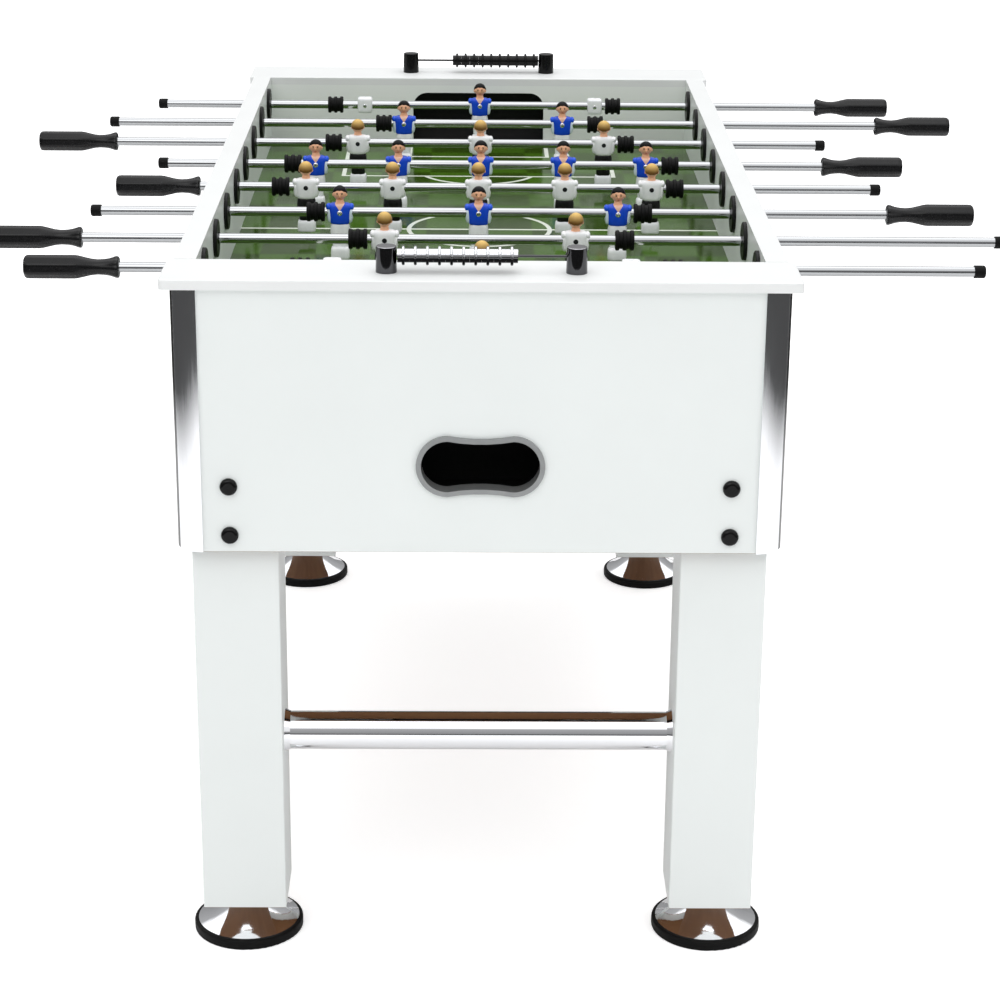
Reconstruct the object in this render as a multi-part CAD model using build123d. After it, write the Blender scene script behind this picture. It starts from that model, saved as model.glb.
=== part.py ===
from build123d import *
import os

# Foosball table, 1400 x 745 x 875 mm, all sizes in millimetres.
# Origin: on the floor, midway between the four feet.
# +X runs along the rods, +Y along the table, +Z up. Rod 1 is at +Y, rod 8 at -Y.

os.makedirs("parts", exist_ok=True)

# ---------------------------------------------------------------- driving dimensions
LENGTH = 1400.0
WIDTH = 745.0
HEIGHT = 875.0
BOARD = 12.0
FIELD_LENGTH = 1200.0
FIELD_WIDTH = 676.0
FIELD_Z = 768.0
CABINET_BOTTOM = 540.0
ROD_Z = 845.0
ROD_PITCH = 150.0

# cabinet
SIDE_OUT = 360.0
END_OUT = 694.0
END_PANEL = 18.0
FIELD_BOARD = 9.0
RAIL_OUT = 365.0
TOP_CORNER_R = 6.0
TOP_EDGE_R = 1.5
GOAL_WALL = 12.0
GOAL_WIDTH = 213.0
GOAL_TOP = 851.0
GOAL_CORNER = 23.0
POCKET_WALL = 3.0
POCKET_MARGIN = 10.0
POCKET_FLOOR = 603.0
CORNER_R = 33.0
CORNER_WALL = 3.0
CORNER_LIP = 15.0
CORNER_LIP_GAP = 1.0
CORNER_X = 330.0
CORNER_Y = 664.0

# ball return opening in each end panel
RETURN_Z = 649.0
RETURN_WIDTH = 153.0
RETURN_HEIGHT = 75.0
RETURN_PINCH = 3.5
RETURN_RIM = 6.0
RETURN_PROUD = 4.0
RETURN_SLEEVE = 2.0

# legs, feet and stretchers
LEG = 104.0
LEG_OUT = 346.0
LEG_WALL = 16.0
LEG_FLOOR = 20.0
LEG_EDGE_R = 2.0
FOOT_RING_R = 69.5
FOOT_RING_H = 13.0
FOOT_RING_WALL = 5.0
FOOT_RING_ROUND = 2.5
FOOT_PAD = 4.0
FOOT_BELL_WALL = 3.0
FOOT_BELL_RIM = 1.0
FOOT_BELL_WAIST = (43.7, 26.0)
FOOT_HEIGHT = 52.0
FOOT_NECK_R = 25.0
FOOT_NECK = 4.0
STRETCHER_Z = 275.0
STRETCHER_R = 24.0
STRETCHER_WALL = 2.0
STRETCHER_CUP_R = 27.0
STRETCHER_CUP = 7.0
BOLT_X = 298.0
BOLT_ZS = (561.0, 622.0)
BOLT_HEAD_R = 10.5
BOLT_HEAD = 6.0
BOLT_DOME_R = 4.5
BOLT_SHANK_R = 4.0
BOLT_SHANK = 40.0

# rods and their bearings
ROD_R = 6.35
ROD_BORE_R = 4.9
FIT = 0.02
RUNNING = 0.05
BUSH_FLANGE_R = 24.5
BUSH_FLANGE = 5.0
BUSH_ROUND = 2.0
BUSH_R = 14.0
BUSH_LIP = 1.5
BUSH_LIP_R = 7.7
LINER_R = 11.0
NUT_R = 17.0
NUT = 6.0
NUT_LIP = 2.0
LINER_PLAY = 0.3

# parts on the rods
HANDLE = 115.5
HANDLE_FLARE_R = 13.8
HANDLE_FLARE_EDGE = 2.0
HANDLE_WAIST_R = 9.3
HANDLE_WAIST_AT = 27.0
HANDLE_BARREL_R = 15.0
HANDLE_BARREL_AT = 52.0
HANDLE_FLAT = 28.0
HANDLE_EDGE_R = 3.0
HANDLE_END_R = 4.5
HANDLE_SOCKET = 100.0
CAP = 14.0
CAP_R = 7.9
CAP_END_R = 3.0
CAP_SOCKET = 11.0
BUMPER = 24.0
BUMPER_R = 13.0
BUMPER_GROOVE_R = 10.9
BUMPER_RIB = 5.2
BUMPER_RIB_ROUND = 1.6
SCREW_R = 2.3
SCREW_HEAD_R = 4.2
SCREW_HEAD = 2.4
SCREW_HEAD_ROUND = 1.2
SCREW_PAST_ROD = 1.5
SCREW_HOLE_R = 4.3
BLOCK = 24.0
BLOCK_DEPTH = 24.0
BLOCK_ROUND = 4.0

# a player: heights from the rod axis, then widths and depths
HEAD_TOP = 36.0
SHOULDER_Z = 12.5
HEM_Z = -16.5
KNEE_Z = -33.0
BOOT_Z = -47.0
SOLE_Z = -64.0
HEAD_R = 10.0
NECK_R = 6.0
SHIRT_WIDTH = 38.0
SHIRT_DEPTH = 21.0
SHIRT_SIDE_R = 8.0
SHOULDER_R = 6.0
SHORTS = (26.4, 17.0)
LEGS = (20.4, 13.0)
BOOT = (25.4, 20.0)
BOOT_FORWARD = 2.0
LIMB_ROUND = 3.0
OVERLAP = 3.0

# score counters
POST_SPACING = 222.0
POST_Y = 656.0
POST_R = 12.5
POST_TOP_R = 11.8
POST_HEIGHT = 31.0
POST_ROUND = 0.8
WIRE_R = 1.5
WIRE_HEIGHT = 19.5
WIRE_PAST_POST = 4.0
BEADS = 10
BEAD_PITCH = 14.04
BEAD_R = 8.2
BEAD_RIDGE_R = 11.4
BEAD_RIDGE = 3.6
BEAD_RIDGE_ROUND = 1.5
BEAD_GAP = 0.1
BEAD_REST_GAP = 0.4

# One row per rod, from the back: side of the handle (+1 right, -1 left), players,
# bumper centres, side blocks, handle's inner end and closed end, both from the middle.
RODS = (
    dict(side=1, men=(2,), bumpers=(-229, 215), blocks=(-182, 186), handle=540, end=512),
    dict(side=1, men=(-116, 129), bumpers=(-147, 180), blocks=(), handle=614, end=570),
    dict(side=-1, men=(-181, 2, 186), bumpers=(-217, 219), blocks=(), handle=539, end=517),
    dict(side=1, men=(-235, -116.5, 2, 120.5, 239), bumpers=(-268, 274), blocks=(), handle=493, end=461),
    dict(side=-1, men=(-240, -120.5, -2, 117.5, 237.5), bumpers=(-275, 269.5), blocks=(), handle=386, end=555),
    dict(side=1, men=(-186, -2, 183), bumpers=(-218, 216), blocks=(), handle=540.5, end=516),
    dict(side=-1, men=(-122, 121), bumpers=(-156, 183.5), blocks=(), handle=506, end=670),
    dict(side=-1, men=(1,), bumpers=(-220, 234), blocks=(-181, 183), handle=439.5, end=616),
)
# The blue team plays towards -Y and holds its handles on the right.
FACING = {1: -1, -1: 1}

# ---------------------------------------------------------------- derived sizes
RAIL_Z = HEIGHT - BOARD
FIELD_X = FIELD_WIDTH / 2
FIELD_Y = FIELD_LENGTH / 2
END_IN = END_OUT - END_PANEL
GOAL_BACK = FIELD_Y + GOAL_WALL
LEG_IN = LEG_OUT - LEG
LEG_X = LEG_OUT - LEG / 2
LEG_Y = END_IN - LEG / 2
LEG_TOP = FIELD_Z - FIELD_BOARD
ENDS = (-1, 1)
CORNERS = [(sx, sy) for sx in ENDS for sy in ENDS]


# ---------------------------------------------------------------- helpers
def board(x, y, z):
    """A rectangular board between the given (low, high) pairs."""
    middle = Pos((x[0] + x[1]) / 2, (y[0] + y[1]) / 2, (z[0] + z[1]) / 2)
    return middle * Box(x[1] - x[0], y[1] - y[0], z[1] - z[0])


def span(side, inner, outer):
    """The (low, high) pair of a board that lies on one side of the middle."""
    return tuple(sorted((side * inner, side * outer)))


def bar_x(radius, x0, x1, y=0.0, z=0.0):
    """A round bar along X."""
    return Pos((x0 + x1) / 2, y, z) * Rot(0, 90, 0) * Cylinder(radius, abs(x1 - x0))


def bar_y(radius, y0, y1, x=0.0, z=0.0):
    """A round bar along Y."""
    return Pos(x, (y0 + y1) / 2, z) * Rot(90, 0, 0) * Cylinder(radius, abs(y1 - y0))


def save(name, *solids):
    """Write one sub-part, which may be several separate solids."""
    export_step(Compound(children=list(solids)), f"parts/{name}.step")


def rod_y(number):
    """Rod 1 is nearest the back goal, rod 8 nearest the front goal."""
    return (4.5 - number) * ROD_PITCH


# ---------------------------------------------------------------- cabinet
def goal_mouth(side):
    """The space of a goal opening, with rounded top corners, along Y."""
    height = GOAL_TOP - FIELD_Z
    mouth = Box(GOAL_WIDTH, 4 * GOAL_WALL, 2 * height)
    top = mouth.edges().filter_by(Axis.Y).sort_by(Axis.Z)[-2:]
    mouth = fillet(top, GOAL_CORNER)
    return Pos(0, side * (FIELD_Y + GOAL_WALL / 2), FIELD_Z) * mouth


def goal_wall(side):
    wall = board((-FIELD_X, FIELD_X), span(side, FIELD_Y, GOAL_BACK), (FIELD_Z, RAIL_Z))
    return wall - goal_mouth(side)


def playfield():
    return board((-FIELD_X, FIELD_X), (-GOAL_BACK, GOAL_BACK), (LEG_TOP, FIELD_Z))


def return_outline(inset):
    """The waisted oval of the ball return, drawn smaller by inset."""
    r = RETURN_HEIGHT / 2 - inset
    x = RETURN_WIDTH / 2 - RETURN_HEIGHT / 2
    pinch = r - RETURN_PINCH
    edge = [
        ThreePointArc((-x, r), (0, pinch), (x, r)),
        ThreePointArc((x, r), (x + r, 0), (x, -r)),
        ThreePointArc((x, -r), (0, -pinch), (-x, -r)),
        ThreePointArc((-x, -r), (-x - r, 0), (-x, r)),
    ]
    return make_face(Wire(edge))


def return_prism(inset, side, y0, y1):
    """The ball return's outline as a prism between two distances from the middle."""
    prism = extrude(Plane.XZ * return_outline(inset), amount=(y1 - y0) / 2, both=True)
    return Pos(0, side * (y0 + y1) / 2, RETURN_Z) * prism


def end_panel(side):
    panel = board((-CORNER_X, CORNER_X), span(side, END_IN, END_OUT), (CABINET_BOTTOM, RAIL_Z))
    panel -= return_prism(RETURN_RIM - RETURN_SLEEVE - FIT, side, END_IN - 1, END_OUT + 1)
    for x in ENDS:
        for z in BOLT_ZS:
            panel -= bar_y(BOLT_SHANK_R + FIT, side * (END_IN - 1), side * (END_OUT + 1), x * BOLT_X, z)
    return panel


def ball_return_trim(side):
    """A rim that stands proud of the panel and a sleeve through it."""
    rim = return_prism(0, side, END_OUT, END_OUT + RETURN_PROUD)
    rim += return_prism(RETURN_RIM - RETURN_SLEEVE, side, END_IN, END_OUT)
    return rim - return_prism(RETURN_RIM, side, END_IN - 1, END_OUT + RETURN_PROUD + 1)


def side_panel(side):
    """Bored for eight rod bushes and housed out for the tops of two legs."""
    panel = board(span(side, FIELD_X, SIDE_OUT), (-CORNER_Y, CORNER_Y), (CABINET_BOTTOM, RAIL_Z))
    for number in range(1, 9):
        panel -= bar_x(BUSH_R + FIT, side * (FIELD_X - 1), side * (SIDE_OUT + 1), rod_y(number), ROD_Z)
    for y in ENDS:
        housing_y = span(y, LEG_Y - LEG / 2, CORNER_Y + 1)
        panel -= board(span(side, FIELD_X - 1, LEG_OUT), housing_y, (CABINET_BOTTOM - 1, LEG_TOP))
    return panel


def end_board(side):
    slab = board((-WIDTH / 2, WIDTH / 2), span(side, FIELD_Y, LENGTH / 2), (RAIL_Z, HEIGHT))
    slab = fillet(slab.edges().filter_by(Axis.Z), TOP_CORNER_R)
    rim = slab.edges().group_by(Axis.Z)[-1]
    return fillet(rim, TOP_EDGE_R)


def side_rail(side):
    return board(span(side, FIELD_X, RAIL_OUT), (-FIELD_Y, FIELD_Y), (RAIL_Z, HEIGHT))


def corner_profile(sx, sy):
    """A quarter-round extrusion with a short lip against each panel's edge."""
    height = RAIL_Z - CABINET_BOTTOM
    lip_to = CORNER_R - CORNER_LIP_GAP
    lip = (lip_to - CORNER_LIP, lip_to)
    ring = Cylinder(CORNER_R, height) - Cylinder(CORNER_R - CORNER_WALL, height)
    quarter = ring & board((0, CORNER_R), (0, CORNER_R), (-height, height))
    quarter += board(lip, (0, CORNER_WALL), (-height / 2, height / 2))
    quarter += board((0, CORNER_WALL), lip, (-height / 2, height / 2))
    if sx < 0:
        quarter = mirror(quarter, about=Plane.YZ)
    if sy < 0:
        quarter = mirror(quarter, about=Plane.XZ)
    return Pos(sx * CORNER_X, sy * CORNER_Y, CABINET_BOTTOM + height / 2) * quarter


def goal_pocket(side):
    """Catches the ball behind the goal and opens at the ball return."""
    half = GOAL_WIDTH / 2 + POCKET_MARGIN
    y_in = GOAL_BACK + FIT
    outer = board((-half, half), span(side, y_in, END_IN), (POCKET_FLOOR, RAIL_Z))
    room_y = span(side, y_in + POCKET_WALL, END_IN + 1)
    room = board(
        (-half + POCKET_WALL, half - POCKET_WALL), room_y, (POCKET_FLOOR + POCKET_WALL, RAIL_Z + 1)
    )
    return outer - room - goal_mouth(side)


# ---------------------------------------------------------------- legs and feet
def leg(sx, sy):
    """A hollow square leg with a solid floor for its foot and a hole for each bolt."""
    body = Box(LEG, LEG, LEG_TOP - FOOT_HEIGHT)
    body = fillet(body.edges().filter_by(Axis.Z), LEG_EDGE_R)
    body = Pos(0, 0, (LEG_TOP + FOOT_HEIGHT) / 2) * body
    half = LEG / 2 - LEG_WALL
    body -= board((-half, half), (-half, half), (FOOT_HEIGHT + LEG_FLOOR, LEG_TOP + 1))
    body = Pos(sx * LEG_X, sy * LEG_Y, 0) * body
    for z in BOLT_ZS:
        body -= bar_y(BOLT_SHANK_R + FIT, sy * (END_IN - LEG_WALL - 1), sy * (END_IN + 1), sx * BOLT_X, z)
    return body


def leg_bolt(sx, sy, z):
    """A bolt through the end panel into the leg, with a domed cap over its head."""
    dome = Cylinder(BOLT_HEAD_R, BOLT_HEAD, align=(Align.CENTER, Align.CENTER, Align.MIN))
    dome = fillet(dome.edges().sort_by(Axis.Z)[-1], BOLT_DOME_R)
    shank = Cylinder(BOLT_SHANK_R, BOLT_SHANK, align=(Align.CENTER, Align.CENTER, Align.MAX))
    return Pos(sx * BOLT_X, sy * END_OUT, z) * Rot(-90 * sy, 0, 0) * (dome + shank)


def foot_ring():
    ring = Cylinder(FOOT_RING_R, FOOT_RING_H, align=(Align.CENTER, Align.CENTER, Align.MIN))
    ring = fillet(ring.edges(), FOOT_RING_ROUND)
    return ring - Pos(0, 0, FOOT_PAD) * Cylinder(
        FOOT_RING_R - FOOT_RING_WALL, FOOT_RING_H, align=(Align.CENTER, Align.CENTER, Align.MIN)
    )


def bell_solid(inset):
    """The bell's sweep from a wide rim up to a neck, drawn smaller by inset."""
    rim_r = FOOT_RING_R - FOOT_RING_WALL - FIT - inset
    neck_r = FOOT_NECK_R - inset
    low = FOOT_PAD + FIT
    rim_z = FOOT_RING_H + FOOT_BELL_RIM - inset
    shoulder_z = FOOT_HEIGHT - FOOT_NECK - inset
    middle = (FOOT_BELL_WAIST[0] - inset, FOOT_BELL_WAIST[1] - inset)
    profile = [
        Line((0, low), (rim_r, low)),
        Line((rim_r, low), (rim_r, rim_z)),
        ThreePointArc((rim_r, rim_z), middle, (neck_r, shoulder_z)),
        Line((neck_r, shoulder_z), (neck_r, FOOT_HEIGHT - inset)),
        Line((neck_r, FOOT_HEIGHT - inset), (0, FOOT_HEIGHT - inset)),
        Line((0, FOOT_HEIGHT - inset), (0, low)),
    ]
    return revolve(Plane.XZ * make_face(Wire(profile)), axis=Axis.Z)


def foot_bell():
    """A hollow bell that stands in the ring and carries the leg."""
    return bell_solid(0) - Pos(0, 0, -1) * bell_solid(FOOT_BELL_WALL)


def stretcher(sy):
    """A round tube between two legs, with a shallow cup at each end."""
    length = 2 * LEG_IN
    rail = bar_x(STRETCHER_R, -length / 2, length / 2)
    for sx in ENDS:
        cup = Cone(STRETCHER_CUP_R, STRETCHER_R, STRETCHER_CUP)
        rail += Pos(sx * (length - STRETCHER_CUP) / 2, 0, 0) * Rot(0, -90 * sx, 0) * cup
    rail -= bar_x(STRETCHER_R - STRETCHER_WALL, -length, length)
    return Pos(0, sy * LEG_Y, STRETCHER_Z) * rail


# ---------------------------------------------------------------- rod bearings
def rod_bush(sx):
    """A flanged bush through the side panel, which holds the turning liner."""
    face = FIELD_X - BUSH_FLANGE
    flange = bar_x(BUSH_FLANGE_R, face, FIELD_X)
    flange = fillet(flange.edges().sort_by(Axis.X)[0], BUSH_ROUND)
    bush = flange + bar_x(BUSH_R, FIELD_X - 1, SIDE_OUT + NUT)
    bush -= bar_x(BUSH_LIP_R, face - 1, SIDE_OUT + NUT + 1)
    bush -= bar_x(LINER_R + RUNNING, face + BUSH_LIP, SIDE_OUT + NUT + 1)
    return bush if sx > 0 else mirror(bush, about=Plane.YZ)


def bush_nut(sx):
    nut = bar_x(NUT_R, SIDE_OUT, SIDE_OUT + NUT + NUT_LIP)
    nut = fillet(nut.edges().sort_by(Axis.X)[-1], BUSH_ROUND)
    nut -= bar_x(BUSH_R + FIT, SIDE_OUT - 1, SIDE_OUT + NUT)
    nut -= bar_x(BUSH_LIP_R, SIDE_OUT, SIDE_OUT + 2 * NUT)
    return nut if sx > 0 else mirror(nut, about=Plane.YZ)


def bush_liner(sx):
    """A plain sleeve that turns in the bush while the rod slides through it."""
    start = FIELD_X - BUSH_FLANGE + BUSH_LIP + LINER_PLAY
    end = SIDE_OUT + NUT - LINER_PLAY
    return bar_x(LINER_R, sx * start, sx * end) - bar_x(ROD_R + RUNNING, sx * (start - 1), sx * (end + 1))


# ---------------------------------------------------------------- parts on a rod
def rod_tube(rod):
    """A steel tube with a cross hole for each screw, placed along X."""
    handle_end = rod["side"] * (rod["handle"] + HANDLE_SOCKET)
    closed_end = -rod["side"] * (rod["end"] - CAP + CAP_SOCKET)
    tube = bar_x(ROD_R, closed_end, handle_end) - bar_x(ROD_BORE_R, 2 * closed_end, 2 * handle_end)
    for x in rod["men"] + rod["blocks"]:
        tube -= bar_y(SCREW_R + FIT, -ROD_R - 1, ROD_R + 1, x)
    return tube


def handle(rod):
    """An eight-sided barrel, a waist and a flared collar towards the table."""
    r = HANDLE_BARREL_R
    collar = (HANDLE_FLARE_EDGE, HANDLE_FLARE_R)
    outline = [
        Line((0, 0), (0, HANDLE_FLARE_R)),
        Line((0, HANDLE_FLARE_R), collar),
        ThreePointArc(collar, (HANDLE_WAIST_AT, HANDLE_WAIST_R), (HANDLE_BARREL_AT, r)),
        Line((HANDLE_BARREL_AT, r), (HANDLE, r)),
        Line((HANDLE, r), (HANDLE, 0)),
        Line((HANDLE, 0), (0, 0)),
    ]
    grip = revolve(make_face(Wire(outline)), axis=Axis.X)
    grip = fillet(grip.edges().sort_by(Axis.X)[-1], HANDLE_END_R)
    octagon = RegularPolygon(HANDLE_FLAT / 2, 8, major_radius=False)
    flats = extrude(fillet(octagon.vertices(), HANDLE_EDGE_R), amount=2 * HANDLE)
    grip &= Rot(0, 90, 0) * Rot(0, 0, 22.5) * Pos(0, 0, -HANDLE / 2) * flats
    grip -= bar_x(ROD_R + FIT, -1, HANDLE_SOCKET + FIT)
    if rod["side"] < 0:
        grip = mirror(grip, about=Plane.YZ)
    return Pos(rod["side"] * rod["handle"], 0, 0) * grip


def end_cap(rod):
    cap = bar_x(CAP_R, 0, CAP)
    cap = fillet(cap.edges().sort_by(Axis.X)[-1], CAP_END_R)
    cap -= bar_x(ROD_R + FIT, -1, CAP_SOCKET + FIT)
    if rod["side"] > 0:
        cap = mirror(cap, about=Plane.YZ)
    return Pos(-rod["side"] * (rod["end"] - CAP), 0, 0) * cap


def bumper(x):
    """A rubber sleeve with three ribs."""
    sleeve = bar_x(BUMPER_GROOVE_R, -BUMPER / 2, BUMPER / 2)
    for rib in (-1, 0, 1):
        middle = rib * (BUMPER - BUMPER_RIB) / 2
        ring = bar_x(BUMPER_R, middle - BUMPER_RIB / 2, middle + BUMPER_RIB / 2)
        sleeve += fillet(ring.edges(), BUMPER_RIB_ROUND)
    return Pos(x, 0, 0) * (sleeve - bar_x(ROD_R + FIT, -BUMPER, BUMPER))


def screw(x, facing, depth):
    """A pan-head screw through the rod, its head at the front of what it holds."""
    front = depth / 2
    shank = bar_y(SCREW_R, -ROD_R - SCREW_PAST_ROD, front - SCREW_HEAD)
    head = bar_y(SCREW_HEAD_R, front - SCREW_HEAD, front)
    head = fillet(head.edges().sort_by(Axis.Y)[-1], SCREW_HEAD_ROUND)
    body = shank + head
    if facing < 0:
        body = mirror(body, about=Plane.XZ)
    return Pos(x, 0, 0) * body


def screw_hole(facing, depth):
    front = depth / 2
    hole = bar_y(SCREW_R + FIT, -depth, depth)
    hole += bar_y(SCREW_HOLE_R, front - SCREW_HEAD, 2 * depth)
    return hole if facing > 0 else mirror(hole, about=Plane.XZ)


def limb(size, low, high):
    """A block with rounded upright edges between two heights."""
    body = fillet(Box(size[0], size[1], high - low).edges().filter_by(Axis.Z), LIMB_ROUND)
    return Pos(0, 0, (low + high) / 2) * body


def player(x, facing):
    """A moulded player: head, shirt, shorts, legs together and a square boot."""
    shirt = Box(SHIRT_WIDTH, SHIRT_DEPTH, SHOULDER_Z - HEM_Z)
    shirt = fillet(shirt.edges().filter_by(Axis.Z), SHIRT_SIDE_R)
    shirt = fillet(shirt.edges().group_by(Axis.Z)[-1], SHOULDER_R)
    body = Pos(0, 0, (SHOULDER_Z + HEM_Z) / 2) * shirt
    head_z = HEAD_TOP - HEAD_R
    body += Pos(0, 0, (SHOULDER_Z + head_z) / 2) * Cylinder(NECK_R, head_z - SHOULDER_Z + OVERLAP)
    body += Pos(0, 0, head_z) * Sphere(HEAD_R)
    body += limb(SHORTS, KNEE_Z, HEM_Z + OVERLAP)
    body += limb(LEGS, BOOT_Z - OVERLAP, KNEE_Z + OVERLAP)
    body += Pos(0, facing * BOOT_FORWARD, 0) * limb(BOOT, SOLE_Z, BOOT_Z)
    body -= bar_x(ROD_R + FIT, -SHIRT_WIDTH, SHIRT_WIDTH)
    body -= screw_hole(facing, SHIRT_DEPTH)
    return Pos(x, 0, 0) * body


def block(x, facing):
    """A rounded side block beside the goalkeeper."""
    body = fillet(Box(BLOCK, BLOCK_DEPTH, BLOCK).edges(), BLOCK_ROUND)
    body -= bar_x(ROD_R + FIT, -BLOCK, BLOCK)
    body -= screw_hole(facing, BLOCK_DEPTH)
    return Pos(x, 0, 0) * body


def rod_men(rod):
    """Players, side blocks and their screws, as separate solids."""
    facing = FACING[rod["side"]]
    pieces = [player(x, facing) for x in rod["men"]]
    pieces += [screw(x, facing, SHIRT_DEPTH) for x in rod["men"]]
    pieces += [block(x, facing) for x in rod["blocks"]]
    pieces += [screw(x, facing, BLOCK_DEPTH) for x in rod["blocks"]]
    return pieces


# ---------------------------------------------------------------- score counters
def score_post(x, y):
    post = Cone(POST_R, POST_TOP_R, POST_HEIGHT, align=(Align.CENTER, Align.CENTER, Align.MIN))
    post = fillet(post.edges().sort_by(Axis.Z)[-1], POST_ROUND)
    return Pos(x, y, HEIGHT) * (post - bar_x(WIRE_R + FIT, -POST_R, POST_R, 0, WIRE_HEIGHT))


def score_frame(sy):
    """Two posts and the wire that they hold."""
    y = sy * POST_Y
    half = POST_SPACING / 2
    wire = bar_x(WIRE_R, -half - WIRE_PAST_POST, half + WIRE_PAST_POST, y, HEIGHT + WIRE_HEIGHT)
    return [score_post(-half, y), score_post(half, y), wire]


def score_beads(sy):
    """Ten ridged beads, pushed to the left at the front and to the right at the back."""
    middle = BEAD_RIDGE / 2
    bead = bar_x(BEAD_R, -(BEAD_PITCH - BEAD_GAP) / 2, (BEAD_PITCH - BEAD_GAP) / 2)
    bead += fillet(bar_x(BEAD_RIDGE_R, -middle, middle).edges(), BEAD_RIDGE_ROUND)
    bead -= bar_x(WIRE_R + RUNNING, -BEAD_PITCH, BEAD_PITCH)
    first = POST_SPACING / 2 - POST_R - BEAD_REST_GAP - BEAD_PITCH / 2
    spots = [sy * (first - n * BEAD_PITCH) for n in range(BEADS)]
    return [Pos(x, sy * POST_Y, HEIGHT + WIRE_HEIGHT) * bead for x in spots]


# ---------------------------------------------------------------- assembly
save("playfield", playfield())
save("goal_walls", *[goal_wall(s) for s in ENDS])
save("goal_pockets", *[goal_pocket(s) for s in ENDS])
save("top_rails", *[end_board(s) for s in ENDS], *[side_rail(s) for s in ENDS])
for sx, word in ((-1, "left"), (1, "right")):
    save(f"side_panel_{word}", side_panel(sx))
for sy, word in ((-1, "front"), (1, "back")):
    save(f"end_panel_{word}", end_panel(sy))
    save(f"score_frame_{word}", *score_frame(sy))
    save(f"score_beads_{word}", *score_beads(sy))
save("corner_profiles", *[corner_profile(sx, sy) for sx, sy in CORNERS])
save("ball_return_trims", *[ball_return_trim(s) for s in ENDS])

save("legs", *[leg(sx, sy) for sx, sy in CORNERS])
save("leg_bolts", *[leg_bolt(sx, sy, z) for sx, sy in CORNERS for z in BOLT_ZS])
save("foot_rings", *[Pos(sx * LEG_X, sy * LEG_Y, 0) * foot_ring() for sx, sy in CORNERS])
save("foot_bells", *[Pos(sx * LEG_X, sy * LEG_Y, 0) * foot_bell() for sx, sy in CORNERS])
save("stretchers", *[stretcher(s) for s in ENDS])

bearing_places = [(sx, Pos(0, rod_y(n), ROD_Z)) for n in range(1, 9) for sx in ENDS]
save(
    "rod_bushes",
    *[place * rod_bush(sx) for sx, place in bearing_places],
    *[place * bush_nut(sx) for sx, place in bearing_places],
)
for number, rod in enumerate(RODS, start=1):
    place = Pos(0, rod_y(number), ROD_Z)
    rubber = [bumper(x) for x in rod["bumpers"]] + [end_cap(rod)]
    save(f"rod_{number}_liners", *[place * bush_liner(sx) for sx in ENDS])
    save(f"rod_{number}_tube", place * rod_tube(rod))
    save(f"rod_{number}_handle", place * handle(rod))
    save(f"rod_{number}_rubber", *[place * piece for piece in rubber])
    save(f"rod_{number}_men", *[place * piece for piece in rod_men(rod)])
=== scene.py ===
"""Foosball table: the looks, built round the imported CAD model. Lengths in metres, MM for small parts."""

import math

import bmesh
import bpy
from mathutils import Matrix, Vector


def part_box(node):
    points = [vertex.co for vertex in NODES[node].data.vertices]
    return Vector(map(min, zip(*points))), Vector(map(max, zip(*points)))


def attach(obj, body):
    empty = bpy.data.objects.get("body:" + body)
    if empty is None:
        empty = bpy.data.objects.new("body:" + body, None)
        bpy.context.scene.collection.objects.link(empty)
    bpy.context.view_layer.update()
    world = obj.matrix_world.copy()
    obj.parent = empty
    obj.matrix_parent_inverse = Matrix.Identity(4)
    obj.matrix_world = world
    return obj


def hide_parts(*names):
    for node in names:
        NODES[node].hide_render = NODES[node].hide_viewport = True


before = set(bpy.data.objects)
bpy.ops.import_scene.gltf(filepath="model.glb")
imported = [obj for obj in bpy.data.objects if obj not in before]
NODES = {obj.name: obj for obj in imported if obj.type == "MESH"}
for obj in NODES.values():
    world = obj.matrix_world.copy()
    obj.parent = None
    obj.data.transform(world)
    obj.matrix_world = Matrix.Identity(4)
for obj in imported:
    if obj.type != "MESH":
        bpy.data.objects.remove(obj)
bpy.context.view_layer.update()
MM = 0.001
ENDS = (-1, 1)
RODS = range(1, 9)
GOAL_WALL = 12 * MM
GASKET = 4.5 * MM
PRINT_DEPTH = 1.5 * MM
MASK_MARGIN = 0.3 * MM


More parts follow.
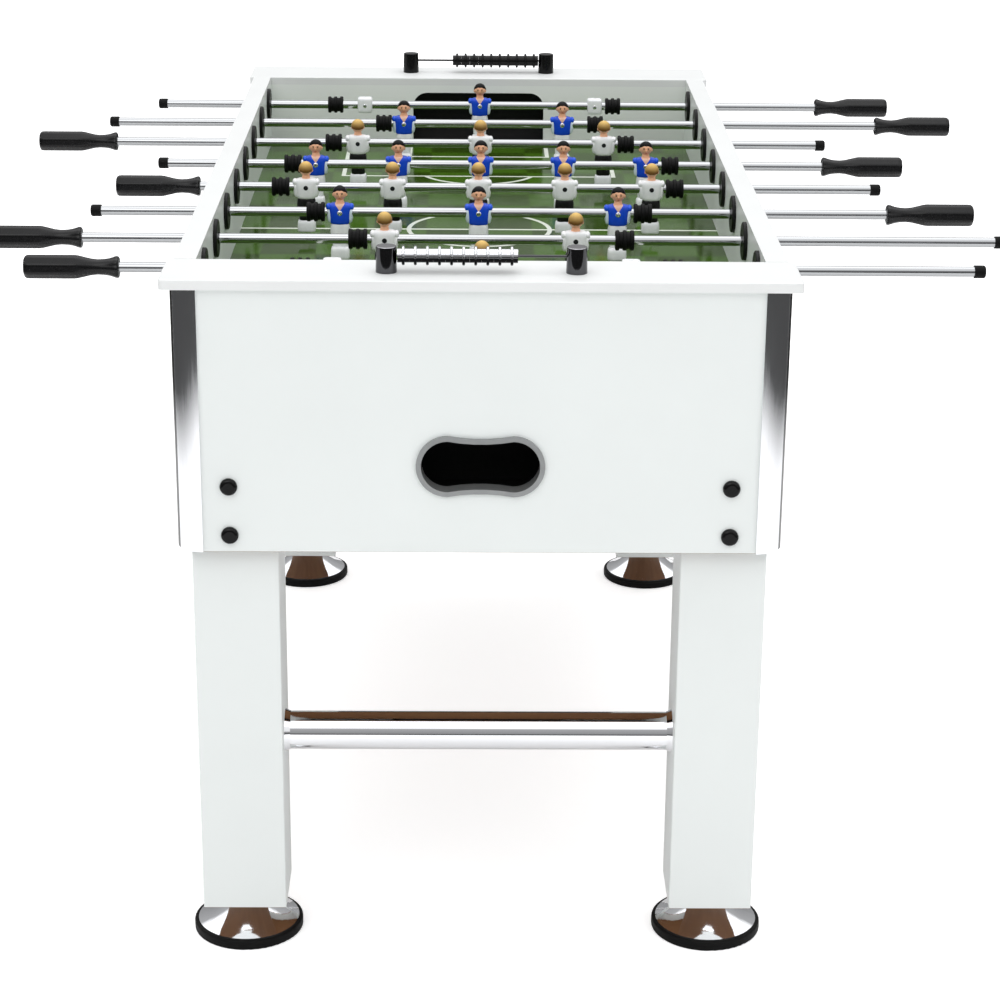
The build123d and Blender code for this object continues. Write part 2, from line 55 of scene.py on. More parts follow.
# ================================================================ shader helpers
class Shader:
    """A Principled material with short calls for the nodes used here."""

    def __init__(self, name, colour, roughness, metallic=0.0, specular=0.5, coat=0.0, coat_roughness=0.05):
        self.material = bpy.data.materials.new(name)
        self.material.use_nodes = True
        self.tree = self.material.node_tree
        self.bsdf = self.tree.nodes["Principled BSDF"]
        self.set("Base Color", (*colour, 1.0))
        self.set("Roughness", roughness)
        self.set("Metallic", metallic)
        self.set("Specular IOR Level", specular)
        self.set("Coat Weight", coat)
        self.set("Coat Roughness", coat_roughness)
        self.place = self.add("ShaderNodeTexCoord").outputs["Object"]

    def set(self, socket, value):
        self.bsdf.inputs[socket].default_value = value

    def add(self, kind, **settings):
        node = self.tree.nodes.new(kind)
        for key, value in settings.items():
            setattr(node, key, value)
        return node

    def feed(self, socket, value):
        """Link an output, or set a plain value."""
        if isinstance(value, bpy.types.NodeSocket):
            self.tree.links.new(value, socket)
        else:
            socket.default_value = value

    def to(self, name, value):
        self.feed(self.bsdf.inputs[name], value)

    def math(self, operation, a, b=0.0, c=0.0, clamp=False):
        node = self.add("ShaderNodeMath", operation=operation, use_clamp=clamp)
        for socket, value in zip(node.inputs, (a, b, c)):
            self.feed(socket, value)
        return node.outputs[0]

    def xyz(self):
        node = self.add("ShaderNodeSeparateXYZ")
        self.feed(node.inputs[0], self.place)
        return node.outputs

    def noise(self, scale, detail=3.0, stretch=(1.0, 1.0, 1.0)):
        spread = self.add("ShaderNodeMapping")
        self.feed(spread.inputs["Vector"], self.place)
        spread.inputs["Scale"].default_value = stretch
        node = self.add("ShaderNodeTexNoise")
        self.feed(node.inputs["Vector"], spread.outputs[0])
        node.inputs["Scale"].default_value = scale
        node.inputs["Detail"].default_value = detail
        return node.outputs["Fac"]

    def spread(self, value, low, high):
        """Stretch the middle half of a 0 to 1 value so that it runs from low to high."""
        node = self.add("ShaderNodeMapRange")
        node.inputs["From Min"].default_value = 0.25
        node.inputs["From Max"].default_value = 0.75
        node.inputs["To Min"].default_value = low
        node.inputs["To Max"].default_value = high
        self.feed(node.inputs["Value"], value)
        return node.outputs[0]

    def mix(self, factor, first, second):
        node = self.add("ShaderNodeMix", data_type="RGBA")
        self.feed(node.inputs["Factor"], factor)
        for socket, value in ((node.inputs["A"], first), (node.inputs["B"], second)):
            named = [s for s in node.inputs if s.name == socket.name and s.type == "RGBA"][0]
            self.feed(named, value if isinstance(value, bpy.types.NodeSocket) else (*value, 1.0))
        return [s for s in node.outputs if s.type == "RGBA"][0]

    def bump(self, height, strength, distance=0.1 * MM):
        node = self.add("ShaderNodeBump")
        node.inputs["Strength"].default_value = strength
        node.inputs["Distance"].default_value = distance
        self.feed(node.inputs["Height"], height)
        self.to("Normal", node.outputs[0])

    def band(self, distance, half):
        """1 where the distance is under half, fading over half a millimetre at the edge."""
        room = self.math("SUBTRACT", half, self.math("ABSOLUTE", distance))
        return self.math("MULTIPLY_ADD", room, 1 / (0.5 * MM), 0.5, clamp=True)

    def above(self, value, level, soft=0.1 * MM):
        """1 where the value is over the level."""
        room = self.math("SUBTRACT", value, level)
        return self.math("MULTIPLY_ADD", room, 1 / soft, 0.5, clamp=True)


def tint(colour, amount):
    return tuple(min(1.0, c * amount) for c in colour)


# ================================================================ materials
def raw_fibre(s):
    """The brown of bare fibreboard."""
    return s.mix(s.noise(90.0, 5.0), (0.13, 0.055, 0.022), (0.22, 0.105, 0.045))


def laminate(name, colour, raw_below=None, painted_shade_within=None):
    """Satin laminate with a very fine pearl texture. Lower edges may be bare, and inner faces may be painted
    near black as painted shade.
    """
    s = Shader(name, colour, 0.36, specular=0.4)
    cloud = s.spread(s.noise(6.0, 2.0), 0.0, 1.0)
    face = s.mix(cloud, tint(colour, 0.985), tint(colour, 1.01))
    if raw_below is not None:
        face = s.mix(s.above(s.xyz()[2], raw_below), raw_fibre(s), face)
    if painted_shade_within is not None:
        # Painted shade: the inner face, which lies in shadow behind the open-backed goal pockets, is painted
        # near black.
        face = s.mix(s.above(s.math("ABSOLUTE", s.xyz()[1]), painted_shade_within), (0.004, 0.004, 0.004), face)
        s.set("Specular IOR Level", 0.2)
    s.to("Base Color", face)
    s.to("Roughness", s.spread(s.noise(35.0), 0.33, 0.40))
    s.bump(s.noise(2600.0, 2.0), 0.10, 0.05 * MM)
    return s.material


def moulded(name, colour, roughness, grain=1800.0, depth=0.15, specular=0.3):
    """Moulded plastic with a slight surface grain."""
    s = Shader(name, colour, roughness, specular=specular)
    s.to("Base Color", s.mix(s.noise(60.0), tint(colour, 0.85), tint(colour, 1.15)))
    s.to("Roughness", s.spread(s.noise(140.0), roughness - 0.05, roughness + 0.06))
    s.bump(s.noise(grain, 2.0), depth, 0.06 * MM)
    return s.material


def plated(name, colour, roughness, along=(1.0, 1.0, 1.0)):
    """Bright plating with faint polishing marks along one direction."""
    s = Shader(name, colour, roughness, metallic=1.0)
    marks = s.noise(900.0, 2.0, stretch=along)
    s.to("Roughness", s.spread(marks, roughness * 0.7, roughness * 1.4))
    s.bump(marks, 0.02, 0.02 * MM)
    return s.material


def painted_reflection_plating(name, low, high, level, soft):
    """Plating with a painted reflection: dark below a level and bright above it."""
    s = Shader(name, high, 0.10, metallic=1.0)
    # Painted reflection: bright plating above the level, dark plating below it.
    painted_reflection_top = s.above(s.xyz()[2], level, soft)
    s.to("Base Color", s.mix(painted_reflection_top, low, high))
    s.to("Roughness", s.spread(s.noise(700.0, 2.0), 0.07, 0.14))
    s.bump(s.noise(900.0, 2.0), 0.02, 0.02 * MM)
    return s.material


def corner_chrome():
    """Polished quarter-round with a black gasket down the edge that meets the side panel."""
    s = Shader("corner_chrome", (0.90, 0.91, 0.93), 0.07, metallic=1.0)
    x = s.math("ABSOLUTE", s.xyz()[0])
    gasket = s.above(x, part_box("corner_profiles")[1].x - GASKET, 0.6 * MM)
    s.to("Base Color", s.mix(gasket, (0.90, 0.91, 0.93), (0.02, 0.02, 0.02)))
    s.to("Metallic", s.math("SUBTRACT", 1.0, gasket))
    s.to("Roughness", s.spread(s.noise(500.0, 2.0, stretch=(1.0, 1.0, 0.04)), 0.05, 0.10))
    return s.material


def trim_grey():
    """Silver-grey moulding with a faint mottle."""
    s = Shader("trim_grey", (0.30, 0.31, 0.31), 0.28, metallic=0.6)
    s.to("Base Color", s.mix(s.noise(80.0), (0.27, 0.28, 0.28), (0.34, 0.35, 0.35)))
    s.bump(s.noise(1500.0, 2.0), 0.08, 0.05 * MM)
    return s.material


def pitch(half_y, under_z):
    """A glossy printed pitch: mown squares, grass flecks and white lines. The underside is bare."""
    line = 3.2 * MM
    circle, spot = 100 * MM, 7 * MM
    box_x, box_depth = 0.209, 0.251
    area_x, area_depth = 0.110, 0.106
    arc_r, arc_reach = 0.0893, 0.054
    square = half_y / 8
    dark, light = (0.020, 0.042, 0.003), (0.055, 0.135, 0.009)
    tip, shade = (0.085, 0.180, 0.014), (0.014, 0.030, 0.003)

    s = Shader("pitch", (0.05, 0.12, 0.01), 0.15, specular=0.16)
    x, y, z = s.xyz()
    ax = s.math("ABSOLUTE", x)
    ay = s.math("ABSOLUTE", y)

    lane = s.math("FLOOR", s.math("DIVIDE", y, square))
    column = s.math("FLOOR", s.math("DIVIDE", x, square))
    checked = s.math("FLOORED_MODULO", s.math("ADD", lane, column), 2.0)
    mown = s.mix(s.math("MULTIPLY_ADD", checked, 0.8, 0.1), dark, light)
    flecks = s.spread(s.noise(700.0, 4.0, stretch=(1.0, 0.45, 1.0)), 0.0, 1.0)
    mown = s.mix(s.math("MULTIPLY", flecks, 0.35), mown, tip)
    patches = s.spread(s.noise(14.0), 0.0, 1.0)
    mown = s.mix(s.math("MULTIPLY", patches, 0.22), mown, shade)

    radius = s.math("SQRT", s.math("ADD", s.math("MULTIPLY", x, x), s.math("MULTIPLY", y, y)))
    paint = s.band(s.math("SUBTRACT", radius, circle), line)
    marks = [s.above(spot, radius, 0.5 * MM), s.band(y, line)]
    for wide, depth in ((box_x, box_depth), (area_x, area_depth)):
        edge = half_y - depth
        outside = s.math("MAXIMUM", s.math("SUBTRACT", ax, wide), s.math("SUBTRACT", edge, ay))
        marks.append(s.band(outside, line))
    box_edge = half_y - box_depth
    centre = box_edge - arc_reach + arc_r
    dy = s.math("SUBTRACT", ay, centre)
    arc = s.math("SQRT", s.math("ADD", s.math("MULTIPLY", x, x), s.math("MULTIPLY", dy, dy)))
    arc = s.band(s.math("SUBTRACT", arc, arc_r), line)
    marks.append(s.math("MULTIPLY", arc, s.above(box_edge, ay, 0.5 * MM)))
    for mark in marks:
        paint = s.math("MAXIMUM", paint, mark)
    printed = s.mix(s.math("MULTIPLY", paint, 0.93), mown, (0.80, 0.84, 0.76))

    top = s.above(z, under_z, 1 * MM)
    s.to("Base Color", s.mix(top, raw_fibre(s), printed))
    s.to("Roughness", s.math("MULTIPLY_ADD", top, -0.48, s.spread(s.noise(50.0), 0.57, 0.64)))
    s.bump(s.noise(1200.0, 2.0, stretch=(1.0, 0.4, 1.0)), 0.05, 0.05 * MM)
    return s.material


def shirt_blue():
    """Slightly uneven blue shirt paint, with a V of bare neck at the front."""
    s = Shader("shirt_blue", (0.005, 0.060, 0.62), 0.24, specular=0.3, coat=0.08)
    x, y, z = s.xyz()
    vee = s.math("MULTIPLY_ADD", s.math("ABSOLUTE", x), -1.45, s.math("SUBTRACT", z, 3 * MM))
    vee = s.math("MULTIPLY", s.above(vee, 0.0, 0.4 * MM), s.above(0.0, y, 1 * MM))
    worn = s.mix(s.noise(260.0), (0.004, 0.052, 0.56), (0.008, 0.080, 0.70))
    s.to("Base Color", s.mix(vee, worn, (0.80, 0.50, 0.38)))
    s.bump(s.noise(1500.0, 2.0), 0.08, 0.05 * MM)
    return s.material


def hair(name, low, high, painted_shade_below, soft, specular):
    """Painted hair with fine strands, with a painted sheen lighter at the crown and painted shade darker
    below.
    """
    s = Shader(name, high, 0.34, specular=specular)
    strands = s.noise(700.0, 2.0, stretch=(1.0, 1.0, 0.25))
    z = s.xyz()[2]
    # Painted light: the hair runs from its painted-shade colour below the level to its painted-sheen colour
    # above it.
    crown = s.above(z, painted_shade_below, soft)
    shade = s.mix(crown, low, high)
    s.to("Base Color", s.mix(s.math("MULTIPLY", strands, 0.4), shade, tint(high, 0.5)))
    s.bump(strands, 0.35, 0.2 * MM)
    return s.material


WHITE = (0.80, 0.835, 0.82)
FIELD_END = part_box("goal_walls")[1].y - GOAL_WALL
PANEL_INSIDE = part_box("end_panel_back")[0].y + MASK_MARGIN
PANEL_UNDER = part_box("end_panel_back")[0].z + MASK_MARGIN
LEG_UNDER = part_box("legs")[0].z + MASK_MARGIN
POST_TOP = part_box("score_frame_front")[1].z - 2 * MASK_MARGIN
WIRE_Z = sum(corner.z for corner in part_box("score_beads_front")) / 2

MATERIAL = {
    "inner_board": laminate("inner_board", (0.86, 0.89, 0.86)),
    "playfield": pitch(FIELD_END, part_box("playfield")[1].z - PRINT_DEPTH),
    "black_plastic": moulded("black_plastic", (0.006, 0.006, 0.006), 0.42, specular=0.2),
    "black_cap": moulded("black_cap", (0.003, 0.003, 0.003), 0.16, depth=0.04, specular=0.2),
    "chrome": plated("chrome", (0.88, 0.89, 0.91), 0.06, along=(0.05, 1.0, 1.0)),
    "grey_trim": trim_grey(),
    "rubber": moulded("rubber", (0.004, 0.004, 0.004), 0.52, grain=1200.0, depth=0.25, specular=0.12),
    "nylon": moulded("nylon", (0.62, 0.61, 0.57), 0.45),
    "rod_steel": plated("rod_steel", (0.45, 0.46, 0.47), 0.09, along=(0.03, 1.0, 1.0)),
    "handle_black": moulded("handle_black", (0.003, 0.003, 0.0035), 0.26, depth=0.10),
}
SKIN = moulded("skin", (0.95, 0.49, 0.30), 0.32, depth=0.06)
LIPS = moulded("lips", (0.48, 0.13, 0.09), 0.35, depth=0.05)
EYE = moulded("eye", (0.02, 0.012, 0.01), 0.15, depth=0.02)
SHIRT_BLUE = shirt_blue()
SLEEVE_BLUE = moulded("sleeve_blue", (0.010, 0.085, 0.68), 0.22, depth=0.06)
ARM_PALE = moulded("arm_pale", (0.72, 0.82, 0.95), 0.28, depth=0.06)
SHIRT_WHITE = moulded("shirt_white", (0.92, 0.94, 0.97), 0.26, depth=0.06)
CLOTH_WHITE = moulded("shorts_white", (0.86, 0.88, 0.91), 0.28, depth=0.06)
CLOTH_BLACK = moulded("shorts_black", (0.004, 0.004, 0.004), 0.30, depth=0.06)
# Each hair's two colours are painted shade low down and a painted sheen on the crown.
HAIR_BLACK = hair("hair_black", (0.002, 0.002, 0.002), (0.009, 0.0095, 0.011), 33 * MM, 4 * MM, 0.10)
HAIR_BLOND = hair("hair_blond", (0.15, 0.048, 0.007), (0.84, 0.56, 0.17), 30 * MM, 12 * MM, 0.25)
# Near black used as painted shade, for the screw's cross recess and the bore in the back.
HOLE_PAINTED_SHADE = moulded("screw_hole_painted_shade", (0.006, 0.007, 0.009), 0.5)
# The end boards' inner faces are painted near black: painted shade.
END_PANEL = laminate("end_board", WHITE, raw_below=PANEL_UNDER, painted_shade_within=PANEL_INSIDE)
SIDE_PANEL = laminate("side_board", WHITE, raw_below=PANEL_UNDER)
OF_ITS_OWN = {
    "corner_profiles": corner_chrome(),
    "end_panel_front": END_PANEL,
    "end_panel_back": END_PANEL,
    "side_panel_left": SIDE_PANEL,
    "side_panel_right": SIDE_PANEL,
    "legs": laminate("leg_board", WHITE, raw_below=LEG_UNDER),
    "top_rails": laminate("top_board", (0.80, 0.815, 0.808)),
    "goal_pockets": moulded("pocket_black", (0.003, 0.003, 0.003), 0.75, specular=0.2),
    # Front score posts and beads: painted reflection, bright above and dark below.
    "score_frame_front": painted_reflection_plating(
        "post_painted_reflection", (0.09, 0.09, 0.095), (0.50, 0.50, 0.52), POST_TOP, 0.5 * MM
    ),
    "score_beads_front": painted_reflection_plating(
        "bead_painted_reflection", (0.010, 0.010, 0.011), (0.72, 0.73, 0.75), WIRE_Z, 2.5 * MM
    ),
}


def dress_cad():
    """Every CAD node takes the material of its slot, or one of its own."""
    for name, node in NODES.items():
        slot = node.data.materials[0].name.split(".")[0]
        node.data.materials[0] = OF_ITS_OWN.get(name) or MATERIAL.get(slot) or node.data.materials[0]


# ================================================================ mesh helpers
def ring(z, wide, deep, shift=0.0, power=2.4, count=28, groove=0.0):
    """A rounded-box outline round the Z axis, with an optional groove down its middle."""
    points = []
    for k in range(count):
        a = 2 * math.pi * k / count
        c, s = math.cos(a), math.sin(a)
        x = wide * math.copysign(abs(c) ** (2 / power), c)
        y = deep * math.copysign(abs(s) ** (2 / power), s)
        y *= 1 - groove * math.exp(-((x / (0.16 * wide)) ** 2))
        points.append(Vector((x, y + shift, z)))
    return points


class Solid:
    """Collects closed pieces with their materials into one mesh, in millimetres."""

    def __init__(self):
        self.bm = bmesh.new()
        self.materials = []

    def slot(self, material):
        if material not in self.materials:
            self.materials.append(material)
        return self.materials.index(material)

    def loft(self, rings, material, place=Matrix.Identity(4)):
        """Skin a row of outlines and close both ends."""
        index = self.slot(material)
        rows = [[self.bm.verts.new(place @ p) for p in outline] for outline in rings]
        faces = []
        for low, high in zip(rows, rows[1:]):
            for k in range(len(low)):
                n = (k + 1) % len(low)
                faces.append(self.bm.faces.new((low[k], low[n], high[n], high[k])))
        faces.append(self.bm.faces.new(list(reversed(rows[0]))))
        faces.append(self.bm.faces.new(rows[-1]))
        for face in faces:
            face.material_index = index
            face.smooth = True
        return faces

    def lathe(self, profile, material, place=Matrix.Identity(4), count=24):
        """Turn (radius, height) points about the Z axis."""
        return self.loft([ring(z, r, r, power=2.0, count=count) for r, z in profile], material, place)

    def pebble(self, centre, radii, material, count=12, rows=7):
        """A small rounded lump."""
        rings = []
        for k in range(rows + 1):
            a = math.pi * (0.04 + 0.92 * k / rows) - math.pi / 2
            r = math.cos(a)
            rings.append(ring(math.sin(a), r, r, power=2.0, count=count))
        place = Matrix.Translation(Vector(centre)) @ Matrix.Diagonal((*radii, 1.0))
        return self.loft(rings, material, place)

    def finish(self, name, subdivide=0, sharp=40):
        """The finished mesh, in metres, subdivided if asked, and shaded sharp over the sharp angle."""
        bmesh.ops.recalc_face_normals(self.bm, faces=self.bm.faces)
        self.bm.transform(Matrix.Scale(MM, 4))
        mesh = bpy.data.meshes.new(name)
        self.bm.to_mesh(mesh)
        self.bm.free()
        for material in self.materials:
            mesh.materials.append(material)
        if subdivide:
            mesh = subdivided(mesh, subdivide)
        mesh.set_sharp_from_angle(angle=math.radians(sharp))
        mesh.name = name
        return mesh


def subdivided(mesh, levels):
    """The mesh after a subdivision surface."""
    thing = bpy.data.objects.new("making", mesh)
    bpy.context.scene.collection.objects.link(thing)
    thing.modifiers.new("smooth", "SUBSURF").levels = levels
    result = bpy.data.meshes.new_from_object(thing.evaluated_get(bpy.context.evaluated_depsgraph_get()))
    bpy.data.objects.remove(thing)
    bpy.data.meshes.remove(mesh)
    return result


def put(name, mesh, place, body, replaced):
    """Place a mesh in the scene, riding on a body in the stead of a CAD node."""
    thing = bpy.data.objects.new(name, mesh)
    bpy.context.scene.collection.objects.link(thing)
    thing.matrix_world = place
    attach(thing, body)
    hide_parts(replaced)
    return thing


# ================================================================ players
# Rows of (height, half width, half depth) from the rod's axis, in millimetres. The front is -Y.
SHIRT_ROWS = (
    (-16.4, 9.8, 6.2), (-15.8, 12.2, 7.9), (-12.5, 13.7, 9.0), (-6, 14.4, 9.6), (0, 14.9, 9.8),
    (5, 15.6, 9.8), (8.4, 15.9, 9.3), (10.7, 14.2, 8.3), (12.0, 10.8, 6.9), (12.4, 6.5, 5.5),
)
SHORTS_ROWS = ((-13, 11.0, 7.3), (-17.5, 12.8, 8.3), (-25, 13.3, 8.6), (-31.7, 13.2, 8.5), (-32.8, 12.0, 7.7))
LEG_ROWS = ((-31, 9.9, 6.2), (-37, 10.3, 6.4), (-44, 10.3, 6.4), (-48, 10.4, 6.8))
BOOT_ROWS = (
    (-45.5, 9.8, 6.6), (-47.6, 11.9, 8.8), (-50.5, 12.7, 9.9), (-61.6, 12.7, 9.9), (-63.8, 12.1, 9.4),
)
# Rows of (height, half width).
SLEEVE_ROWS = ((3.8, 2.8), (4.4, 3.5), (7.0, 3.9), (9.2, 3.6), (10.8, 2.6), (11.6, 1.2))
ARM_ROWS = ((-14.4, 1.8), (-13.4, 3.2), (-9, 4.1), (0, 4.5), (6.5, 4.3))
ARM_LEAN = 5.5
# Rows of (radius, height).
NECK_ROWS = ((7.2, 9.5), (6.0, 12.0), (5.2, 14.5), (5.6, 18.0))
HEAD_CENTRE = (0.0, 0.2, 24.9)
HEAD_SIZE = (9.5, 9.5, 10.2)
HAIR_THICK = 0.75


def head_point(azimuth, polar, grow=0.0):
    """A point on the head; azimuth 0 is the face, and the jaw is narrower than the crown."""
    up = math.cos(polar)
    round_ = math.sin(polar)
    narrow = 1 - 0.26 * max(0.0, -up - 0.05) ** 1.2
    x = (HEAD_SIZE[0] + grow) * round_ * math.sin(azimuth) * narrow
    y = -(HEAD_SIZE[1] + grow) * round_ * math.cos(azimuth) * narrow
    return Vector((x + HEAD_CENTRE[0], y + HEAD_CENTRE[1], (HEAD_SIZE[2] + grow) * up + HEAD_CENTRE[2]))


def add_head(solid, hair_material, count=28):
    """Neck, face with plain features, and wavy-edged hair, short over the face and down to the nape."""
    solid.lathe(NECK_ROWS, SKIN, count=20)
    face = []
    for k in range(1, 14):
        polar = math.pi * (1 - k / 14)
        face.append([head_point(-2 * math.pi * n / count, polar) for n in range(count)])
    solid.loft(face, SKIN)
    cap = []
    for step in (0.0, 0.05, 0.14, 0.30, 0.48, 0.66, 0.82, 0.95):
        outline = []
        for n in range(count):
            azimuth = -2 * math.pi * n / count
            front = 0.5 + 0.5 * math.cos(azimuth)
            lowest = math.pi * (0.66 - 0.32 * front ** 1.3 + 0.02 * math.cos(9 * azimuth))
            polar = lowest * (1 - step) + 0.03 * step
            grow = -0.5 if step == 0 else HAIR_THICK * (0.8 + 0.2 * math.cos(6 * azimuth) * (1 - step))
            outline.append(head_point(azimuth, polar, grow))
        cap.append(outline)
    solid.loft(cap, hair_material)
    middle = HEAD_CENTRE[2]
    for side in ENDS:
        solid.pebble((8.9 * side, 0.4, middle - 1.6), (1.2, 1.9, 2.5), SKIN)
        solid.pebble((3.1 * side, -8.6, middle + 0.4), (0.95, 0.6, 0.75), EYE)
        solid.pebble((3.1 * side, -8.6, middle + 2.0), (1.7, 0.6, 0.4), hair_material)
    solid.pebble((0, -9.2, middle - 1.8), (1.15, 1.25, 1.9), SKIN)
    solid.pebble((0, -8.0, middle - 5.3), (2.1, 0.6, 0.5), LIPS)


def add_screw(solid, front, material):
    """A pan head with a dark cross on it, painted shade standing for its cross recess, facing -Y."""
    facing = Matrix.Translation((0, -front, 0)) @ Matrix.Rotation(math.radians(90), 4, "X")
    profile = ((3.7, -1.6), (3.7, -0.5), (3.5, 0.05), (2.9, 0.45), (1.9, 0.68), (0.8, 0.73))
    solid.lathe(profile, material, facing)
    for turn in (0, 90):
        bar = facing @ Matrix.Rotation(math.radians(turn), 4, "Z")
        solid.loft([ring(z, 1.8, 0.42, power=6.0, count=12) for z in (0.3, 0.8)], HOLE_PAINTED_SHADE, bar)


def add_hole(solid, back):
    """A dark dished plug in the back, painted shade standing for the screw's bore."""
    facing = Matrix.Translation((0, back, 0)) @ Matrix.Rotation(math.radians(-90), 4, "X")
    solid.lathe(((3.3, -2.5), (3.3, 0.1), (3.1, 0.32), (2.6, 0.22), (1.2, 0.1)), HOLE_PAINTED_SHADE, facing)


def player_mesh(name, blue):
    """A moulded player facing -Y."""
    body = Solid()
    shirt = SHIRT_BLUE if blue else SHIRT_WHITE
    sleeve = SLEEVE_BLUE if blue else SHIRT_WHITE
    arm = ARM_PALE if blue else SHIRT_WHITE
    shorts = CLOTH_WHITE if blue else CLOTH_BLACK
    body.loft([ring(z, w, d, power=2.9) for z, w, d in SHIRT_ROWS], shirt)
    for side in ENDS:
        lean = Matrix.Translation((15.0 * side, 0.2, 0))
        body.loft([ring(z, r, 1.9 * r, count=14) for z, r in SLEEVE_ROWS], sleeve, lean)
        arm_lean = Matrix.Rotation(math.radians(ARM_LEAN * side), 4, "Y")
        arm_place = Matrix.Translation((14.2 * side, 0, 0)) @ arm_lean
        body.loft([ring(z, r, 1.6 * r, count=14) for z, r in ARM_ROWS], arm, arm_place)
    body.loft([ring(z, w, d, power=2.8, groove=0.14) for z, w, d in SHORTS_ROWS], shorts)
    body.loft([ring(z, w, d, power=3.0, groove=0.22) for z, w, d in LEG_ROWS], shorts)
    body.loft([ring(z, w, d, -1.6, 4.2, groove=0.10) for z, w, d in BOOT_ROWS], CLOTH_WHITE)
    add_head(body, HAIR_BLACK if blue else HAIR_BLOND)
    add_screw(body, 9.9, MATERIAL["chrome"])
    add_hole(body, 9.75)
    return body.finish(name, subdivide=1, sharp=60)


def side_block_mesh(name):
    """A rounded block clamped on the rod beside the goalkeeper, facing -Y."""
    block = Solid()
    rows = ((-11.9, 9.2), (-11.2, 11.0), (-9.2, 11.8), (0, 11.9), (9.2, 11.8), (11.2, 11.0), (11.9, 9.2))
    block.loft([ring(z, r, 0.96 * r, power=5.5) for z, r in rows], CLOTH_WHITE)
    add_screw(block, 11.1, MATERIAL["chrome"])
    add_hole(block, 11.3)
    return block.finish(name, subdivide=1, sharp=60)


GAP_BETWEEN = 40 * MM
TALLEST_BLOCK = 60 * MM


def groups_along_rod(node):
    """Centres and heights of the pieces of a node that stand apart from each other along X."""
    corners = sorted((v.co.x, v.co.z) for v in NODES[node].data.vertices)
    groups = [[corners[0]]]
    for corner in corners[1:]:
        if corner[0] - groups[-1][-1][0] > GAP_BETWEEN:
            groups.append([])
        groups[-1].append(corner)
    found = []
    for group in groups:
        heights = [z for x, z in group]
        found.append(((group[0][0] + group[-1][0]) / 2, max(heights) - min(heights)))
    return found


def build_players():
    meshes = {True: player_mesh("player_blue", True), False: player_mesh("player_white", False)}
    block = side_block_mesh("side_block")
    for number in RODS:
        node, body = f"rod_{number}_men", f"rod_{number}"
        low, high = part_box(f"rod_{number}_tube")
        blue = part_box(f"rod_{number}_handle")[0].x > 0
        turn = Matrix.Rotation(0 if blue else math.pi, 4, "Z")
        for count, (x, tall) in enumerate(groups_along_rod(node), start=1):
            place = Matrix.Translation((x, (low.y + high.y) / 2, (low.z + high.z) / 2)) @ turn
            is_player = tall > TALLEST_BLOCK
            mesh = meshes[blue] if is_player else block
            kind = "player" if is_player else "block"
            put(f"rod_{number}_{kind}_{count}", mesh, place, body, node)


# ================================================================ handles
HANDLE_ROWS = (  # distance from the inner end, radius, share of octagon, share of lobes
    (0.0, 11.6, 0.0, 1.0), (0.7, 13.1, 0.0, 1.0), (2.2, 13.7, 0.0, 1.0), (4.6, 13.4, 0.0, 1.0),
    (7.5, 12.3, 0.0, 0.8), (12, 10.9, 0.0, 0.55), (18, 9.9, 0.0, 0.3), (26, 9.4, 0.1, 0.1),
    (34, 10.1, 0.25, 0.0), (42, 11.8, 0.55, 0.0), (50, 13.4, 0.9, 0.0), (54, 13.8, 1.0, 0.0),
    (80, 13.8, 1.0, 0.0), (108.5, 13.8, 1.0, 0.0), (112, 13.6, 0.95, 0.0), (114.3, 12.4, 0.85, 0.0),
    (115.3, 10.4, 0.6, 0.0), (115.5, 7.1, 0.2, 0.0), (114.7, 4.0, 0.0, 0.0),
)


def handle_outline(distance, radius, octagon, lobes, count=64):
    """One section of the grip: between a circle, an octagon with soft corners and eight lobes."""
    outline = []
    for k in range(count):
        a = 2 * math.pi * k / count
        from_flat = (a + math.pi / 8) % (math.pi / 4) - math.pi / 8
        soft = min(1 / math.cos(from_flat), 1.058)
        r = radius * (1 + octagon * (soft - 1)) * (1 - lobes * 0.075 * (1 - abs(math.cos(4 * a))))
        outline.append(Vector((r * math.cos(a), r * math.sin(a), distance)))
    return outline


def build_handles():
    grip = Solid()
    grip.loft([handle_outline(*row) for row in HANDLE_ROWS], MATERIAL["handle_black"])
    mesh = grip.finish("grip", sharp=50)
    for number in RODS:
        node = f"rod_{number}_handle"
        low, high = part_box(node)
        side = 1 if low.x > 0 else -1
        inner = low.x if side > 0 else high.x
        place = Matrix.Translation((inner, (low.y + high.y) / 2, (low.z + high.z) / 2))
        place = place @ Matrix.Rotation(side * math.pi / 2, 4, "Y")
        put(f"rod_{number}_grip", mesh, place, f"rod_{number}", node)


# ================================================================ stage, light and camera
def disc(name, radius, centre):
    bm = bmesh.new()
    bmesh.ops.create_circle(bm, cap_ends=True, radius=radius, segments=96)
    mesh = bpy.data.meshes.new(name)
    bm.to_mesh(mesh)
    bm.free()
    floor = bpy.data.objects.new(name, mesh)
    floor.location = centre
    bpy.context.scene.collection.objects.link(floor)
    return floor


PAPER_RADIUS = 2.8
PAPER_FADE_AT, PAPER_FADE = 2.47, 0.5
PAPER_GLOW = 0.45
FLOOR_RADIUS = 40.0


def build_stage():
    """White paper that fades out round the table's front, over a floor that mirrors don't see."""
    near = disc("floor_near", PAPER_RADIUS, (0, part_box("top_rails")[0].y + 10 * MM, 0))
    far = disc("floor_far", FLOOR_RADIUS, (0, 0, -2 * MM))
    far.visible_glossy = False
    for floor in (near, far):
        paper = Shader("paper_" + floor.name, (0.94, 0.94, 0.94), 0.9, specular=0.1)
        paper.bump(paper.noise(300.0), 0.02)
        paper.set("Emission Color", (1.0, 1.0, 1.0, 1.0))
        seen = paper.add("ShaderNodeLightPath").outputs["Is Camera Ray"]
        paper.to("Emission Strength", paper.math("MULTIPLY", seen, PAPER_GLOW))
        floor.data.materials.append(paper.material)
        if floor is near:
            x, y = paper.xyz()[:2]
            square = paper.math("ADD", paper.math("MULTIPLY", x, x), paper.math("MULTIPLY", y, y))
            away = paper.math("SQRT", square)
            paper.to("Alpha", paper.above(PAPER_FADE_AT, away, PAPER_FADE))


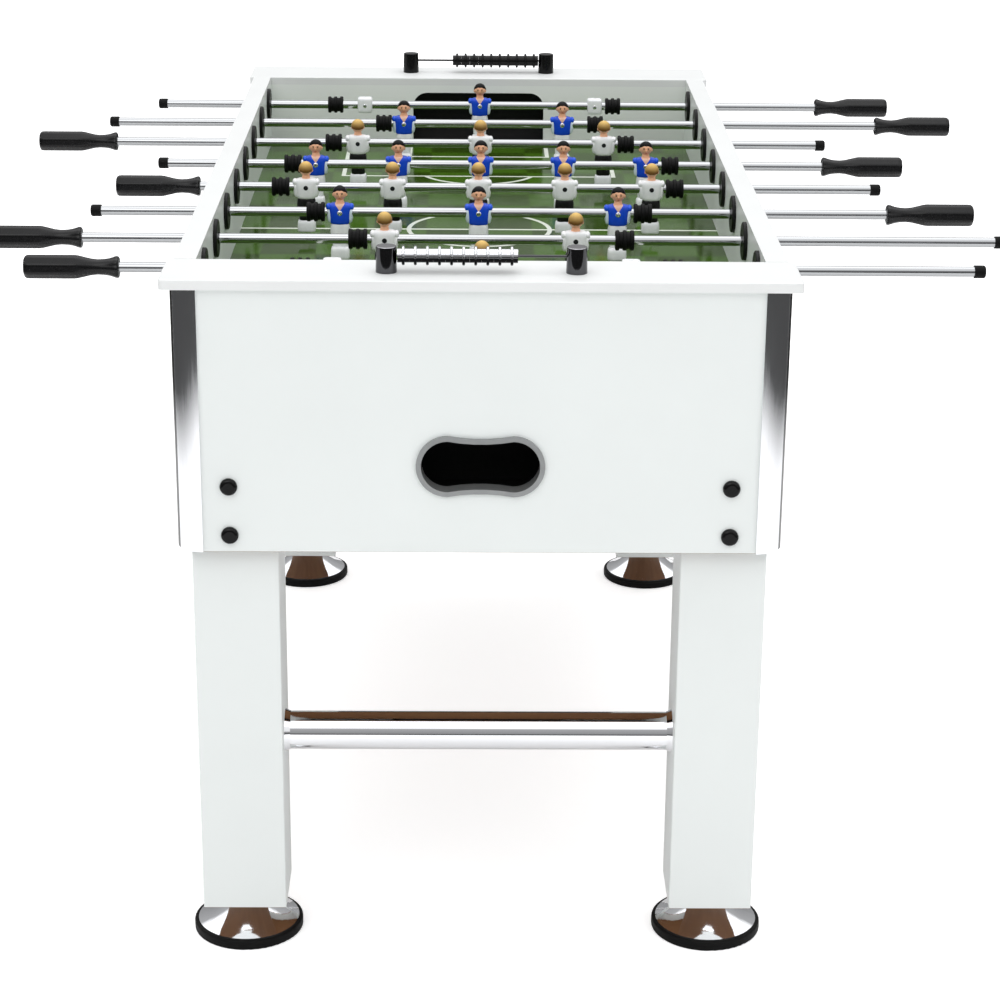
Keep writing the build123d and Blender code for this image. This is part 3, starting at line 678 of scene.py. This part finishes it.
# Half of one plus the sine of the elevation, and the brightness there.
SKY = ((0.0, 0.05), (0.495, 0.05), (0.505, 0.20), (0.74, 0.30), (0.79, 0.95), (1.0, 1.0))
SKY_STRENGTH = 1.45
LIGHTS = (  # name, place, what it is aimed at, size, power
    ("key", (-1.2, -3.2, 3.4), (0, -0.3, 0.5), 2.6, 20),
    ("top", (0.3, 0.6, 4.2), (0, 0, 0.7), 3.6, 26),
    ("fill", (2.6, -2.6, 1.6), (0, -0.3, 0.5), 2.4, 8),
)
CAMERA_PLACE = (-0.0157, -3.5468, 1.6221)
CAMERA_PAN, CAMERA_DOWN, CAMERA_ROLL = -0.0137, 0.3419, 0.0090
CAMERA_LENS = 91.87


def build_world():
    """White above, a grey band over the horizon that chrome picks up, and nearly black below."""
    world = bpy.data.worlds.new("studio")
    bpy.context.scene.world = world
    world.use_nodes = True
    tree = world.node_tree
    background = tree.nodes["Background"]
    place = tree.nodes.new("ShaderNodeTexCoord")
    split = tree.nodes.new("ShaderNodeSeparateXYZ")
    ramp = tree.nodes.new("ShaderNodeValToRGB")
    stretch = tree.nodes.new("ShaderNodeMath")
    stretch.operation = "MULTIPLY_ADD"
    stretch.inputs[1].default_value = 0.5
    stretch.inputs[2].default_value = 0.5
    tree.links.new(place.outputs["Generated"], split.inputs[0])
    tree.links.new(split.outputs["Z"], stretch.inputs[0])
    tree.links.new(stretch.outputs[0], ramp.inputs[0])
    tree.links.new(ramp.outputs[0], background.inputs["Color"])
    ramp.color_ramp.elements.remove(ramp.color_ramp.elements[0])
    ramp.color_ramp.elements[0].position = SKY[0][0]
    ramp.color_ramp.elements[0].color = (SKY[0][1],) * 3 + (1.0,)
    for position, level in SKY[1:]:
        ramp.color_ramp.elements.new(position).color = (level, level, level * 1.01, 1.0)
    background.inputs["Strength"].default_value = SKY_STRENGTH


def area_light(name, place, aim, size, power):
    lamp = bpy.data.lights.new(name, "AREA")
    lamp.shape = "DISK"
    lamp.size = size
    lamp.energy = power
    thing = bpy.data.objects.new(name, lamp)
    thing.location = place
    thing.rotation_euler = (Vector(aim) - Vector(place)).to_track_quat("-Z", "Y").to_euler()
    thing.visible_camera = False
    bpy.context.scene.collection.objects.link(thing)


def build_light():
    build_world()
    for row in LIGHTS:
        area_light(*row)


def build_camera():
    """Stands in front of the table, above its top, looking down along it."""
    lens = bpy.data.cameras.new("camera")
    lens.lens = CAMERA_LENS
    lens.sensor_width = 36.0
    lens.clip_end = 200.0
    camera = bpy.data.objects.new("camera", lens)
    pan = Matrix.Rotation(CAMERA_PAN, 4, "Z")
    pitch_down = Matrix.Rotation(math.pi / 2 - CAMERA_DOWN, 4, "X")
    roll = Matrix.Rotation(CAMERA_ROLL, 4, "Z")
    camera.matrix_world = Matrix.Translation(CAMERA_PLACE) @ pan @ pitch_down @ roll
    bpy.context.scene.collection.objects.link(camera)
    bpy.context.scene.camera = camera


dress_cad()
build_players()
build_handles()
build_stage()
build_light()
build_camera()
bpy.context.scene.view_settings.view_transform = "Standard"

bpy.context.view_layer.update()
